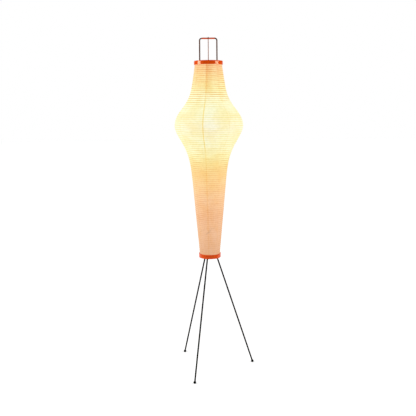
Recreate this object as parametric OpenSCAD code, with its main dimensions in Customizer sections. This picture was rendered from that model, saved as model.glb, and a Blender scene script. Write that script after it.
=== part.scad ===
// Paper lantern floor lamp.
// A paper shade on one spiral rib hangs by a wire bail from the handle of a wire stand.
// The stand has three rod legs, a turned hub, a tube with a lampholder, and a bent wire
// frame that runs up inside the shade and comes out at the top as the handle.
// Millimetres, +Z up. The origin is on the floor on the lamp's axis, and -Y is the front.

/* [Lamp] */
// Height from the floor to the top of the handle
lamp_h = 1575; // [1300:5:1900]
// Height of the handle above the top ring
handle_rise = 113; // [90:1:140]
// Distance of each foot from the lamp's axis
foot_circle_r = 205; // [165:1:250]
// Angle of the first leg from +X, seen from above
leg_turn = 9.3; // [0:0.1:119]

/* [Shade] */
// Height of the shade with both rings
shade_h = 940; // [780:5:1130]
// Radius of the paper at the belly
belly_r = 165; // [138:1:200]
// Height of the belly above the shade's lower edge, as a share of the shade
belly_share = 0.669; // [0.56:0.001:0.72]
// Radius that the two tapers would meet at without the belly
waist_r = 100; // [84:1:120]
// Distance over which the two tapers turn into each other
waist_soft = 77; // [60:1:95]
// Reach of the belly upwards and downwards
belly_reach = 101; // [84:1:115]
// Sharpness of the belly's upper shoulder
belly_power_up = 2.4; // [2:0.1:3]
// Sharpness of the belly's lower shoulder
belly_power_down = 1.8; // [1.6:0.1:2.4]
// Radius of the paper at the top ring
top_neck_r = 66; // [60:1:74]
// Gap between the frame's wire and the hoop of the bottom ring
frame_gap = 1.5; // [1.5:0.1:10]
// Thickness of the paper, thicker than real lantern paper so that it stays a solid
paper_t = 0.4; // [0.3:0.05:0.8]
// Number of paper gores round the shade
gores = 8; // [6:1:12]
// Angle of the first seam between two gores from +X, seen from above
seam_turn = 34.5; // [0:0.5:45]
// Gap between two gores at the belly
seam_gap = 0.3; // [0.2:0.05:0.5]
// Turns of the spiral rib
rib_turns = 93; // [70:1:110]
// Turns of the rib that lie above the belly
rib_turns_above = 30; // [22:1:36]
// Width and height of the bamboo rib
rib_t = 1.2; // [0.8:0.1:2]

/* [Rings and bail] */
// Height of each lacquered band
band_h = 19; // [15:0.5:24]
// Wall thickness of each band
band_t = 3.8; // [3:0.1:5]
// Height of the steel hoop inside each band
hoop_h = 12; // [9:0.5:14]
// Wall thickness of the top hoop
top_hoop_t = 2.5; // [2:0.1:3]
// Wall thickness of the bottom hoop
bottom_hoop_t = 2; // [1.5:0.1:3]
// Thickness of the bail's wire
bail_d = 3.4; // [2.8:0.1:4]
// Inner radius of the bail's bend over the handle
bail_bend_r = 4.5; // [4:0.1:6]

/* [Stand] */
// Thickness of the legs
leg_d = 7.2; // [6:0.1:8]
// Diameter of the ball feet
foot_d = 12.8; // [11.5:0.1:15]
// Thickness of the frame's wire
wire_d = 6.4; // [5.3:0.1:7]
// Distance between the two uprights of the frame, centre to centre
frame_w = 83; // [70:0.5:95]
// Radius of the handle's bends at the wire's centre
frame_bend_r = 10; // [7:0.5:12]
// Wall thickness of the lacquered sleeve on the handle
grip_t = 0.5; // [0.4:0.1:1.5]
// Diameter of the hub
hub_d = 56; // [50:0.5:58]
// Height of the hub
hub_h = 36; // [34:0.5:44]
// Gap between the legs and the bottom ring's hoop, at its lower edge
leg_gap = 9.2; // [8:0.1:12]
// Distance of a leg's upper end from the axis
leg_top_r = 15; // [13.5:0.1:16]
// Diameter of the tube that carries the lampholder
stem_d = 10; // [8:0.5:11]
// Wall thickness of the tube
stem_t = 1; // [0.8:0.1:1.5]
// Bore of the inlet bush under the hub
inlet_d = 7.5; // [5:0.1:8]

/* [Lampholder and bulb] */
// Diameter of the lampholder
holder_d = 40; // [38:0.5:46]
// Height of the lampholder
holder_h = 68; // [64:1:76]
// Diameter of the bulb's globe
bulb_d = 60; // [50:1:70]
// Length of the bulb with its cap
bulb_h = 108; // [102:1:125]
// Diameter of the bulb's screw cap
bulb_cap_d = 26.4; // [26:0.1:26.6]

/* [Hidden] */
$fn = 96;

// Clearances
fit = 0.1;          // round a rod, screw or tube in its hole
seat = 0.3;         // between a soft part and what carries it
shell_gap = 0.5;    // between the bulb's cap and the lampholder's screw shell

// Heights
shade_z = lamp_h - handle_rise - shade_h;
shade_top_z = shade_z + shade_h;
rib_bottom_z = shade_z + band_h;
rib_top_z = shade_top_z - band_h;
rib_pitch = (rib_top_z - rib_bottom_z) / rib_turns;
belly_z = shade_z + belly_share * shade_h;
split_z = rib_top_z - rib_turns_above * rib_pitch;
grip_d = wire_d + 2 * (fit + grip_t);
bar_z = lamp_h - grip_d / 2;
frame_x = frame_w / 2;

// Bands and hoops. The bottom ring is sized from the frame that passes through it.
band_gap = 0.2;
bottom_neck_r = frame_x + wire_d / 2 + frame_gap + bottom_hoop_t + seat + paper_t;
top_band_r = top_neck_r + band_gap + band_t;
bottom_band_r = bottom_neck_r + band_gap + band_t;
top_hoop_r = top_neck_r - paper_t - seat;
bottom_hoop_r = bottom_neck_r - paper_t - seat;
hoop_inset = 2.5;
paper_inset = 1.5;
band_edge = 0.8;

// Legs: each runs straight from its foot, just inside the bottom ring, to a slanted
// socket in the hub, so the hub's height follows from the legs' slant
leg_socket_h = 18;
foot_z = foot_d * 0.45;
leg_pass_r = bottom_hoop_r - bottom_hoop_t - leg_gap - leg_d / 2;
leg_tilt = atan((foot_circle_r - leg_pass_r) / (shade_z - foot_z));
leg_top_z = shade_z + (leg_pass_r - leg_top_r) / tan(leg_tilt);
leg_len = (leg_top_z - foot_z) / cos(leg_tilt);
hub_z = leg_top_z - leg_socket_h;
hub_top_z = hub_z + hub_h;
hub_cone_r = 12;
hub_edge = 2;

// Frame
frame_low_r = min(frame_bend_r, frame_x - hub_d / 2 - 1);
frame_socket_z = hub_z + hub_h - 8;
frame_end_x = hub_d / 2 - 12;
frame_screw_d = 4;
frame_screw_x = hub_d / 2 - 6;
frame_screw_key = 2.3;
frame_screw_key_h = 2;

// Bail: bend over the grip, straight leg, bend outwards, stub in the hoop
bail_r = bail_bend_r + bail_d / 2;
bail_top_c = lamp_h - bail_bend_r + fit;
bail_stub_z = shade_top_z - hoop_inset - hoop_h / 2;
bail_stub_r = 6;
bail_stub_c = bail_stub_z + bail_stub_r;
bail_end_y = top_hoop_r - fit;
bail_foot_y = top_hoop_r - top_hoop_t - 3;
bail_span = norm([bail_foot_y, bail_top_c - bail_stub_c]);
bail_line = atan2(bail_stub_c - bail_top_c, bail_foot_y);
bail_slope = bail_line - asin((bail_r + bail_stub_r) / bail_span);

// Tube, lampholder and bulb
holder_share = 0.53;
holder_z = shade_z + holder_share * shade_h;
brace_t = 2.5;
brace_w = 14;
nut_across = 14;
nut_h = 4;
stem_z = hub_top_z - 16;
stem_top_z = holder_z + 10;
gland_flange_h = 4;
gland_flange_d = 18;
gland_d = 12;
gland_h = 14;
holder_wall = 2;
holder_neck_d = 18;
cap_h = holder_h * 0.35;
core_z = holder_z + cap_h + 5;
core_h = 8;
core_d = holder_d - 2 * holder_wall - 2 * fit;
shell_r = bulb_cap_d / 2 + shell_gap;
shell_t = 0.5;
shell_z = core_z + core_h;
shell_h = 25;
contact_t = 0.6;
contact_w = 6;
contact_rise = 3;
bulb_z = shell_z + contact_rise + contact_t + fit;
bulb_c = bulb_z + bulb_h - bulb_d / 2;
glass_t = 1;
bulb_cap_h = 22;
bulb_cap_z = bulb_z + 5;
bulb_neck_r = bulb_cap_d / 2 - 1.4;
terminal_d = 3.5;
terminal_h = 7;
terminal_r = core_d / 2 - 5;

// Outer radius of the paper at height z: two tapers, softly joined, and the belly
function taper_run(d) = sqrt(d * d + waist_soft * waist_soft) - waist_soft;
function belly_power(d) = d > 0 ? belly_power_up : belly_power_down;
function neck_r(d) = d > 0 ? top_neck_r : bottom_neck_r;
function neck_d(d) = d > 0 ? rib_top_z - belly_z : belly_z - rib_bottom_z;
function taper_r(d) =
    waist_r - (waist_r - neck_r(d)) * taper_run(d) / taper_run(neck_d(d));
function shade_r(z) = let (d = z - belly_z)
    taper_r(d) + (belly_r - waist_r) * exp(-pow(abs(d) / belly_reach, belly_power(d)));

// Height of the rib after a number of turns, counted down from the top ring
function turn_z(turn) = rib_top_z - turn * rib_pitch;

// Radius of the paper after a number of turns: it is straight from one turn to the next
function paper_r(turn) = let (whole = floor(turn), part = turn - whole)
    (1 - part) * shade_r(turn_z(whole)) + part * shade_r(turn_z(whole + 1));

// Outer radius of the rib after a number of turns, clear of the paper over its height
function rib_r(turn) = let (half = rib_t / 2 / rib_pitch)
    min(paper_r(turn - half), paper_r(turn + half)) - paper_t - seat;

// A rod of diameter d from point p to point q
module rod(p, q, d) {
    run = q - p;
    translate(p)
        rotate([0, acos(run[2] / norm(run)), atan2(run[1], run[0])])
        cylinder(d = d, h = norm(run));
}

// A bend of a wire of diameter d in the XY plane, round the origin
module bend(r, d, from, sweep) {
    rotate([0, 0, from])
        rotate_extrude(angle = sweep)
        translate([r, 0])
        circle(d = d);
}

// A round bead of diameter d at point p
module bead(p, d) {
    translate(p)
        rotate_extrude()
        intersection() {
            circle(d = d);
            translate([0, -d / 2]) square(d);
        }
}

// Turns a drawing in the XY plane so that its Y runs upwards
module upright() {
    rotate([90, 0, 0]) children();
}

// A revolved ring with a rectangular section
module ring(outer_r, wall, height, edge = 0) {
    inner_r = outer_r - wall;
    rotate_extrude()
        polygon([
            [inner_r, 0],
            [outer_r - edge, 0],
            [outer_r, edge],
            [outer_r, height - edge],
            [outer_r - edge, height],
            [inner_r, height]
        ]);
}

// The way of one leg, from the foot's centre up into the hub
module along_leg(i) {
    rotate([0, 0, leg_turn + 120 * i])
        translate([foot_circle_r, 0, foot_z])
        rotate([0, -leg_tilt, 0])
        children();
}

// Steel hub, turned, with a coned underside square to the legs
module hub() {
    cone_rise = (hub_d / 2 - hub_cone_r) * tan(leg_tilt);
    color("dimgray")
    difference() {
        translate([0, 0, hub_z])
            rotate_extrude()
            polygon([
                [0, 0],
                [hub_cone_r, 0],
                [hub_d / 2, cone_rise],
                [hub_d / 2, hub_h - hub_edge],
                [hub_d / 2 - hub_edge, hub_h],
                [0, hub_h]
            ]);
        for (i = [0 : 2]) {
            along_leg(i) cylinder(d = leg_d + 2 * fit, h = leg_len + seat);
        }
        for (side = [-1, 1]) {
            rod([side * (frame_end_x - seat), 0, frame_socket_z],
                [side * hub_d, 0, frame_socket_z], wire_d + 2 * fit);
            translate([side * frame_screw_x, 0, frame_socket_z])
                cylinder(d = frame_screw_d + 2 * fit, h = hub_h);
        }
        translate([0, 0, stem_z - seat]) cylinder(d = stem_d + 2 * fit, h = hub_h);
        translate([0, 0, hub_z - hub_h])
            cylinder(d = gland_d + 2 * fit, h = hub_h + gland_h - gland_flange_h + seat);
        translate([0, 0, hub_z]) cylinder(d = inlet_d, h = hub_h);
    }
}

// Straight steel rod leg
module leg(i) {
    color("dimgray") along_leg(i) cylinder(d = leg_d, h = leg_len);
}

// Rubber ball foot with a flat underside and a socket for the leg
module foot(i) {
    color("black")
    difference() {
        rotate([0, 0, leg_turn + 120 * i])
            translate([foot_circle_r, 0, foot_z])
            intersection() {
                bead([0, 0, 0], foot_d);
                translate([0, 0, foot_d / 2 - foot_z])
                    cube(foot_d, center = true);
            }
        along_leg(i)
            translate([0, 0, -seat])
            cylinder(d = leg_d + 2 * fit, h = foot_d);
    }
}

// Nylon bush in the hub's underside, where the supply cord enters
module inlet_bush() {
    color("black")
    translate([0, 0, hub_z - gland_flange_h])
    difference() {
        union() {
            cylinder(d = gland_flange_d, h = gland_flange_h);
            cylinder(d = gland_d, h = gland_h);
        }
        translate([0, 0, -gland_h]) cylinder(d = inlet_d, h = 3 * gland_h);
    }
}

// Bent wire frame: two uprights, the handle bar on top, and ends turned into the hub
module frame_wire() {
    low_z = frame_socket_z + frame_low_r;
    high_z = bar_z - frame_bend_r;
    low_x = frame_x - frame_low_r;
    high_x = frame_x - frame_bend_r;
    color("dimgray") {
        rod([-high_x, 0, bar_z], [high_x, 0, bar_z], wire_d);
        for (side = [0, 1]) {
            mirror([side, 0, 0]) {
                translate([high_x, 0, high_z]) upright() bend(frame_bend_r, wire_d, 0, 90);
                rod([frame_x, 0, low_z], [frame_x, 0, high_z], wire_d);
                translate([low_x, 0, low_z]) upright() bend(frame_low_r, wire_d, 270, 90);
                rod([frame_end_x, 0, frame_socket_z], [low_x, 0, frame_socket_z], wire_d);
            }
        }
    }
}

// Lacquered sleeve on the handle bar
module grip() {
    grip_w = frame_w - 2 * frame_bend_r;
    color("orangered")
    translate([-grip_w / 2, 0, bar_z])
    rotate([0, 90, 0])
    difference() {
        cylinder(d = grip_d, h = grip_w);
        translate([0, 0, -1]) cylinder(d = wire_d + 2 * fit, h = grip_w + 2);
    }
}

// Two grub screws with hexagon sockets, which hold the frame's ends in the hub
module frame_screws() {
    screw_z = frame_socket_z + wire_d / 2 + fit;
    color("silver")
    for (side = [-1, 1]) {
        translate([side * frame_screw_x, 0, 0])
        difference() {
            translate([0, 0, screw_z])
                cylinder(d = frame_screw_d, h = hub_top_z - screw_z);
            translate([0, 0, hub_top_z - frame_screw_key_h])
                cylinder(d = frame_screw_key, h = hub_h, $fn = 6);
        }
    }
}

// Steel tube from the hub to the lampholder
module stem() {
    color("silver")
    translate([0, 0, stem_z])
    difference() {
        cylinder(d = stem_d, h = stem_top_z - stem_z);
        translate([0, 0, -1]) cylinder(d = stem_d - 2 * stem_t, h = shade_h);
    }
}

// Hexagon nuts on the tube, one on the hub and one under the brace
module stem_nuts() {
    color("silver")
    for (z = [hub_top_z, holder_z - brace_t - nut_h]) {
        translate([0, 0, z])
        difference() {
            cylinder(d = nut_across / cos(30), h = nut_h, $fn = 6);
            translate([0, 0, -1]) cylinder(d = stem_d + 2 * fit, h = nut_h + 2);
        }
    }
}

// Steel strip that ties the tube to the two uprights under the lampholder
module brace() {
    color("dimgray")
    translate([0, 0, holder_z - brace_t])
    difference() {
        translate([-frame_x, -brace_w / 2, 0]) cube([frame_w, brace_w, brace_t]);
        translate([0, 0, -1]) cylinder(d = stem_d + 2 * fit, h = brace_t + 2);
        for (side = [-1, 1]) {
            translate([side * frame_x, 0, -1])
                cylinder(d = wire_d + 2 * fit, h = brace_t + 2);
        }
    }
}

// Moulded cap of the lampholder, screwed on the tube
module holder_cap() {
    color("black")
    translate([0, 0, holder_z])
    rotate_extrude()
    polygon([
        [stem_d / 2 + fit, 0],
        [holder_neck_d / 2, 0],
        [holder_neck_d / 2, cap_h * 0.25],
        [holder_d / 2, cap_h * 0.6],
        [holder_d / 2, cap_h],
        [holder_d / 2 - holder_wall, cap_h],
        [holder_d / 2 - holder_wall, cap_h * 0.68],
        [holder_neck_d / 2, cap_h * 0.4],
        [stem_d / 2 + fit, cap_h * 0.4]
    ]);
}

// Moulded barrel of the lampholder, with an inner lip at its mouth
module holder_body() {
    body_h = holder_h - cap_h;
    lip_r = shell_r + shell_t + seat;
    color("black")
    translate([0, 0, holder_z + cap_h])
    rotate_extrude()
    polygon([
        [holder_d / 2 - holder_wall, 0],
        [holder_d / 2, 0],
        [holder_d / 2, body_h - 1],
        [holder_d / 2 - 1, body_h],
        [lip_r, body_h],
        [lip_r, body_h - 3],
        [holder_d / 2 - holder_wall, body_h - 5]
    ]);
}

// Ceramic core that carries the contacts
module holder_core() {
    color("white")
    translate([0, 0, core_z])
    difference() {
        cylinder(d = core_d, h = core_h);
        for (side = [-1, 1]) {
            translate([0, side * terminal_r, -1])
                cylinder(d = terminal_d + 2 * fit, h = core_h + 2);
        }
    }
}

// Brass screw shell of the lampholder, with a floor open in the middle
module holder_shell() {
    floor_r = 8;
    color("gold")
    translate([0, 0, shell_z])
    rotate_extrude()
    polygon([
        [floor_r, 0],
        [shell_r + shell_t, 0],
        [shell_r + shell_t, shell_h],
        [shell_r, shell_h],
        [shell_r, shell_t],
        [floor_r, shell_t]
    ]);
}

// Bent brass tongue that touches the bulb's contact
module centre_contact() {
    tongue = 5;
    color("gold")
    translate([0, contact_w / 2, shell_z])
    upright()
    linear_extrude(height = contact_w)
    polygon([
        [-tongue, 0],
        [tongue, 0],
        [tongue, contact_t],
        [-tongue + contact_t * 2, contact_t],
        [1.5, contact_rise],
        [tongue, contact_rise],
        [tongue, contact_rise + contact_t],
        [1, contact_rise + contact_t],
        [-tongue, contact_t * 1.5]
    ]);
}

// Two screws for the supply wires, with slotted heads under the core
module terminal_screws() {
    head_d = 6;
    head_h = 2.2;
    slot_w = 0.8;
    color("silver")
    for (side = [-1, 1]) {
        translate([0, side * terminal_r, core_z])
        difference() {
            union() {
                cylinder(d = terminal_d, h = terminal_h);
                translate([0, 0, -head_h]) cylinder(d = head_d, h = head_h);
            }
            translate([-head_d, -slot_w / 2, -head_h - 1]) cube([2 * head_d, slot_w, 1.8]);
        }
    }
}

// Outline of the bulb's glass at a distance t inside its surface: globe, then neck
function glass_outline(t) = let (
    r = bulb_d / 2 - t,
    neck_z = bulb_cap_z + bulb_cap_h - 4,
    neck = bulb_neck_r - t,
    low = -52
) concat(
    [[neck, neck_z], [neck, neck_z + 8]],
    [for (a = [low : 4 : 88]) [r * cos(a), bulb_c + r * sin(a)]],
    [[0, bulb_c + r]]
);

// Opal glass of the bulb
module bulb_glass() {
    outer = glass_outline(0);
    inner = glass_outline(glass_t);
    color("white")
    rotate_extrude()
    polygon(concat(outer, [for (i = [len(inner) - 1 : -1 : 0]) inner[i]]));
}

// Screw cap of the bulb
module bulb_cap() {
    cap_r = bulb_cap_d / 2;
    cap_t = 0.6;
    color("silver")
    translate([0, 0, bulb_cap_z])
    rotate_extrude()
    polygon([
        [cap_r - 5, 0],
        [cap_r - 2, 0],
        [cap_r, 3],
        [cap_r, bulb_cap_h],
        [cap_r - cap_t, bulb_cap_h],
        [cap_r - cap_t, 3 + cap_t],
        [cap_r - 2 - cap_t, cap_t],
        [cap_r - 5, cap_t]
    ]);
}

// Glass insulator under the bulb's cap
module bulb_insulator() {
    top_r = bulb_cap_d / 2 - 3;
    color("black")
    translate([0, 0, bulb_z + 1])
        cylinder(r1 = 5, r2 = top_r, h = bulb_cap_z - bulb_z - 1);
}

// Solder contact in the middle of the insulator
module bulb_contact() {
    color("silver") translate([0, 0, bulb_z]) cylinder(r1 = 3, r2 = 4.5, h = 1);
}

// Lacquered band round the paper's upper edge
module top_band() {
    color("orangered")
    translate([0, 0, shade_top_z - band_h]) ring(top_band_r, band_t, band_h, band_edge);
}

// Steel hoop inside the paper's upper edge, with two holes for the bail
module top_hoop() {
    color("dimgray")
    difference() {
        translate([0, 0, shade_top_z - hoop_inset - hoop_h])
            ring(top_hoop_r, top_hoop_t, hoop_h);
        rod([0, -top_band_r, bail_stub_z], [0, top_band_r, bail_stub_z], bail_d + 2 * fit);
    }
}

// Wire bail that hangs the shade on the handle, with a bead where straight meets bend
module bail() {
    bead_d = bail_d + 0.1;
    low = [bail_foot_y, bail_stub_c]
        + bail_stub_r * [cos(bail_slope - 90), sin(bail_slope - 90)];
    high = [0, bail_top_c] + bail_r * [cos(bail_slope + 90), sin(bail_slope + 90)];
    color("sienna")
    rotate([0, 0, 90]) {
        translate([0, 0, bail_top_c])
            upright() bend(bail_r, bail_d, bail_slope + 90, -2 * bail_slope);
        for (side = [0, 1]) {
            mirror([side, 0, 0]) {
                rod([high[0], 0, high[1]], [low[0], 0, low[1]], bail_d);
                bead([high[0], 0, high[1]], bead_d);
                bead([low[0], 0, low[1]], bead_d);
                translate([bail_foot_y, 0, bail_stub_c])
                    upright() bend(bail_stub_r, bail_d, bail_slope - 90, -bail_slope);
                bead([bail_foot_y, 0, bail_stub_z], bead_d);
                rod([bail_foot_y, 0, bail_stub_z], [bail_end_y, 0, bail_stub_z], bail_d);
            }
        }
    }
}

// Paper gores between two counts of turns, with a straight end of given height
module paper(turn_a, turn_b, end_up, end_down) {
    gap_angle = atan(seam_gap / belly_r);
    wall = concat(
        end_up > 0 ? [[paper_r(turn_a), turn_z(turn_a) + end_up]] : [],
        [for (turn = [turn_a : turn_b]) [paper_r(turn), turn_z(turn)]],
        end_down > 0 ? [[paper_r(turn_b), turn_z(turn_b) - end_down]] : []
    );
    color("cornsilk")
    for (gore = [0 : gores - 1]) {
        rotate([0, 0, seam_turn + gap_angle / 2 + gore * 360 / gores])
            rotate_extrude(angle = 360 / gores - gap_angle)
            polygon(concat(
                wall,
                [for (i = [len(wall) - 1 : -1 : 0]) wall[i] - [paper_t, 0]]
            ));
    }
}

// Spiral rib between two counts of turns: each half turn is an arc whose ends meet the
// next ones, tilted by the pitch and moved sideways by the change in radius
module rib(turn_a, turn_b) {
    color("burlywood")
    for (half = [2 * turn_a : 2 * turn_b - 1]) {
        side = half % 2 == 0 ? 1 : -1;
        r_a = rib_r(half / 2);
        r_b = rib_r((half + 1) / 2);
        r = (r_a + r_b) / 2;
        translate([side * (r_a - r_b) / 2, 0, (turn_z(half / 2) + turn_z((half + 1) / 2)) / 2])
            rotate([0, -side * atan(rib_pitch / 4 / r), 0])
            rotate([0, 0, side > 0 ? 0 : 180])
            rotate_extrude(angle = 180)
            translate([r - rib_t, -rib_t / 2])
            square(rib_t);
    }
}

module paper_upper() {
    paper(0, rib_turns_above, band_h - paper_inset, 0);
}

module rib_upper() {
    rib(0.5, rib_turns_above);
}

module paper_lower() {
    paper(rib_turns_above, rib_turns, 0, band_h - paper_inset);
}

module rib_lower() {
    rib(rib_turns_above, rib_turns - 0.5);
}

// Lacquered band round the paper's lower edge
module bottom_band() {
    color("orangered")
    translate([0, 0, shade_z]) ring(bottom_band_r, band_t, band_h, band_edge);
}

// Steel hoop inside the paper's lower edge
module bottom_hoop() {
    color("dimgray")
    translate([0, 0, shade_z + hoop_inset]) ring(bottom_hoop_r, bottom_hoop_t, hoop_h);
}

hub();
leg(0);  // leg_a
leg(1);  // leg_b
leg(2);  // leg_c
foot(0);  // foot_a
foot(1);  // foot_b
foot(2);  // foot_c
inlet_bush();
frame_wire();
grip();
frame_screws();
stem();
stem_nuts();
brace();
holder_cap();
holder_body();
holder_core();
holder_shell();
centre_contact();
terminal_screws();
bulb_glass();
bulb_cap();
bulb_insulator();
bulb_contact();
top_band();
top_hoop();
bail();
paper_upper();
rib_upper();
paper_lower();
rib_lower();
bottom_band();
bottom_hoop();
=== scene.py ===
import math
import bmesh
import bpy
import numpy as np
from mathutils import Matrix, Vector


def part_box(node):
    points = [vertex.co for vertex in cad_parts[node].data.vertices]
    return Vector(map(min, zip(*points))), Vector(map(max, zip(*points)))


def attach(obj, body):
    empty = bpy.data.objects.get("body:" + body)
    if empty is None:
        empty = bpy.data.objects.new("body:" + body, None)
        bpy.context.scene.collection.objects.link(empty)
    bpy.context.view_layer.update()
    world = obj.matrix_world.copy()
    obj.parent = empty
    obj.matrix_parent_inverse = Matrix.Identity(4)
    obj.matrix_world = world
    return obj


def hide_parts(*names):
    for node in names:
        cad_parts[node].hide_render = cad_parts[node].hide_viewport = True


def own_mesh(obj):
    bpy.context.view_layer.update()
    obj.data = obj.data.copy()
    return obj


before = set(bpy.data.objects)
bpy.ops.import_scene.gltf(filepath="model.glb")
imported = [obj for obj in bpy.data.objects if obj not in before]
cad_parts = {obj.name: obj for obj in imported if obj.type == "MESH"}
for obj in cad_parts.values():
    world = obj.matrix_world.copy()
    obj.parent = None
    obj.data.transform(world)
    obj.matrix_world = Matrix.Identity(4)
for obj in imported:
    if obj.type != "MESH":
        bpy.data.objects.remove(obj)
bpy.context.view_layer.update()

# ---- Camera ----------------------------------------------------------------------------
# A level camera in front of the lamp at about the height of its belly, with the lens
# dropped so that the feet come into the frame, and turned a hair, as the photograph is.
IMAGE_SIDE = 416            # pixels
SENSOR_WIDTH = 36           # millimetres
FOCAL_LENGTH = 600          # pixels
HORIZON_ROW = 107.8         # pixels from the top of the picture
CAMERA_ROLL = -0.008        # radians
CAMERA_PLACE = (-0.0035, -2.8846, 1.2372)   # metres

camera = bpy.data.objects.new("camera", bpy.data.cameras.new("camera"))
bpy.context.scene.collection.objects.link(camera)
bpy.context.scene.camera = camera
camera.data.sensor_width = SENSOR_WIDTH
camera.data.lens = SENSOR_WIDTH * FOCAL_LENGTH / IMAGE_SIDE
camera.data.shift_y = (HORIZON_ROW - IMAGE_SIDE / 2) / IMAGE_SIDE
camera.matrix_world = (
    Matrix.Translation(CAMERA_PLACE)
    @ Matrix.Rotation(math.pi / 2, 4, "X")
    @ Matrix.Rotation(CAMERA_ROLL, 4, "Z")
)
bpy.context.scene.view_settings.view_transform = "Standard"


# ---- Studio ----------------------------------------------------------------------------
# A white floor that runs out under a white sky, even fill light, and a tall softbox on
# either side. The side where the camera stands is a dark room, so gloss stays deep there.
def rgb(code):
    """The linear colour of an sRGB hex value, with an alpha of 1."""
    parts = [int(code[i : i + 2], 16) / 255 for i in (1, 3, 5)]
    linear = [c / 12.92 if c <= 0.04045 else ((c + 0.055) / 1.055) ** 2.4 for c in parts]
    return (*linear, 1.0)


def node(tree, kind, inputs=None, **settings):
    """Adds a node with its settings, and with values or links at its inputs. Returns its output."""
    made = tree.nodes.new("ShaderNode" + kind)
    for name, value in settings.items():
        setattr(made, name, value)
    for name, value in (inputs or {}).items():
        if isinstance(value, bpy.types.NodeSocket):
            tree.links.new(value, made.inputs[name])
        else:
            made.inputs[name].default_value = value
    return next((output for output in made.outputs if output.enabled), None)


def material(name, sockets):
    """Starts a material with these values on its shader. Returns it, its tree and its shader."""
    made = bpy.data.materials.new(name)
    made.use_nodes = True
    shader = made.node_tree.nodes["Principled BSDF"]
    for socket, value in sockets.items():
        shader.inputs[socket].default_value = value
    return made, made.node_tree, shader


FILL_LEVEL = 0.39
DARK_ROOM_LEVEL = 0.06
WHITE_TO_BACK = (0.7, 0.95)         # Y of a reflected direction, where the dark room turns white
SOFTBOX_TALL = 0.95                 # metres
SOFTBOX_DISTANCE = 2.0
SOFTBOX_HEIGHT = 1.35
SOFTBOXES = {                       # degrees from the camera's side, width in metres, level
    "left": (-77, 0.9, 12.5),
    "right": (69, 1.0, 9.5),
}

sky = bpy.data.worlds.new("studio")
bpy.context.scene.world = sky
sky.use_nodes = True
tree = sky.node_tree
tree.nodes.clear()
path = node(tree, "LightPath").node.outputs
mirrored = node(tree, "Math", {0: path["Is Glossy Ray"], 1: path["Is Transmission Ray"]}, operation="ADD")
shown = node(tree, "Math", {0: path["Is Camera Ray"], 1: mirrored}, operation="ADD", use_clamp=True)
toward_back = node(tree, "SeparateXYZ", {0: node(tree, "TexCoord")}).node.outputs["Y"]
backdrop = node(
    tree,
    "MapRange",
    {
        "Value": toward_back,
        "From Min": WHITE_TO_BACK[0],
        "From Max": WHITE_TO_BACK[1],
        "To Min": DARK_ROOM_LEVEL,
        "To Max": 1.0,
    },
)
seen_level = node(tree, "Math", {0: path["Is Camera Ray"], 1: backdrop}, operation="MAXIMUM")
level = node(tree, "Mix", {0: shown, 2: FILL_LEVEL, 3: seen_level})
background = node(tree, "Background", {"Color": rgb("#ffffff"), "Strength": level})
node(tree, "OutputWorld", {"Surface": background})

for name, (turn, width, level) in SOFTBOXES.items():
    lamp = bpy.data.lights.new("softbox_" + name, "AREA")
    lamp.shape = "RECTANGLE"
    lamp.size, lamp.size_y = width, SOFTBOX_TALL
    lamp.energy = level * math.pi * width * SOFTBOX_TALL
    softbox = bpy.data.objects.new(lamp.name, lamp)
    bpy.context.scene.collection.objects.link(softbox)
    softbox.visible_camera = False
    softbox.matrix_world = (
        Matrix.Rotation(math.radians(turn), 4, "Z")
        @ Matrix.Translation((0, -SOFTBOX_DISTANCE, SOFTBOX_HEIGHT))
        @ Matrix.Rotation(math.pi / 2, 4, "X")
    )

FLOOR_SIDE = 40             # metres
FLOOR_LIFT = (0.41, 0.69)   # light of its own near the lamp and far off, so that the floor reads white
LIFT_REACH = (0.4, 2.2)     # metres from the lamp, where the lift starts to grow and is full
GLOSS_REACH = (-0.2, 0.6)   # metres to the back, where reflections start to show the lift, and show all

white_floor, tree, shader = material(
    "white_paper_floor", {"Base Color": rgb("#ececec"), "Roughness": 0.9, "Emission Color": rgb("#ffffff")}
)
path = node(tree, "LightPath").node.outputs
mirrored = node(tree, "Math", {0: path["Is Glossy Ray"], 1: path["Is Transmission Ray"]}, operation="ADD")
from_front = node(tree, "SeparateXYZ", {0: node(tree, "NewGeometry")}).node.outputs["Y"]
backdrop = node(
    tree, "MapRange", {"Value": from_front, "From Min": GLOSS_REACH[0], "From Max": GLOSS_REACH[1]}
)
mirrored = node(tree, "Math", {0: mirrored, 1: backdrop}, operation="MULTIPLY")
shown = node(tree, "Math", {0: path["Is Camera Ray"], 1: mirrored}, operation="ADD", use_clamp=True)
off_lamp = node(tree, "VectorMath", {0: node(tree, "NewGeometry")}, operation="LENGTH").node.outputs["Value"]
lift = node(
    tree,
    "MapRange",
    {
        "Value": off_lamp,
        "From Min": LIFT_REACH[0],
        "From Max": LIFT_REACH[1],
        "To Min": FLOOR_LIFT[0],
        "To Max": FLOOR_LIFT[1],
    },
)
lift = node(tree, "Math", {0: shown, 1: lift}, operation="MULTIPLY")
tree.links.new(lift, shader.inputs["Emission Strength"])
half = FLOOR_SIDE / 2
floor_mesh = bpy.data.meshes.new("floor")
floor_corners = [(-half, -half, 0), (half, -half, 0), (half, half, 0), (-half, half, 0)]
floor_mesh.from_pydata(floor_corners, [], [(0, 1, 2, 3)])
floor_mesh.materials.append(white_floor)
floor = bpy.data.objects.new("floor", floor_mesh)
bpy.context.scene.collection.objects.link(floor)

# ---- Ball feet --------------------------------------------------------------------------
# Small balls of moulded black rubber, pushed on the ends of the legs, with a flat underside.
# Rubber is dull and a little dusty, with a fine grain from its mould.
MM = 0.001
NOISE_LOW, NOISE_HIGH = 0.3, 0.7    # nearly all of a noise's values lie between
BUMP_STRENGTH = 0.6


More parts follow.
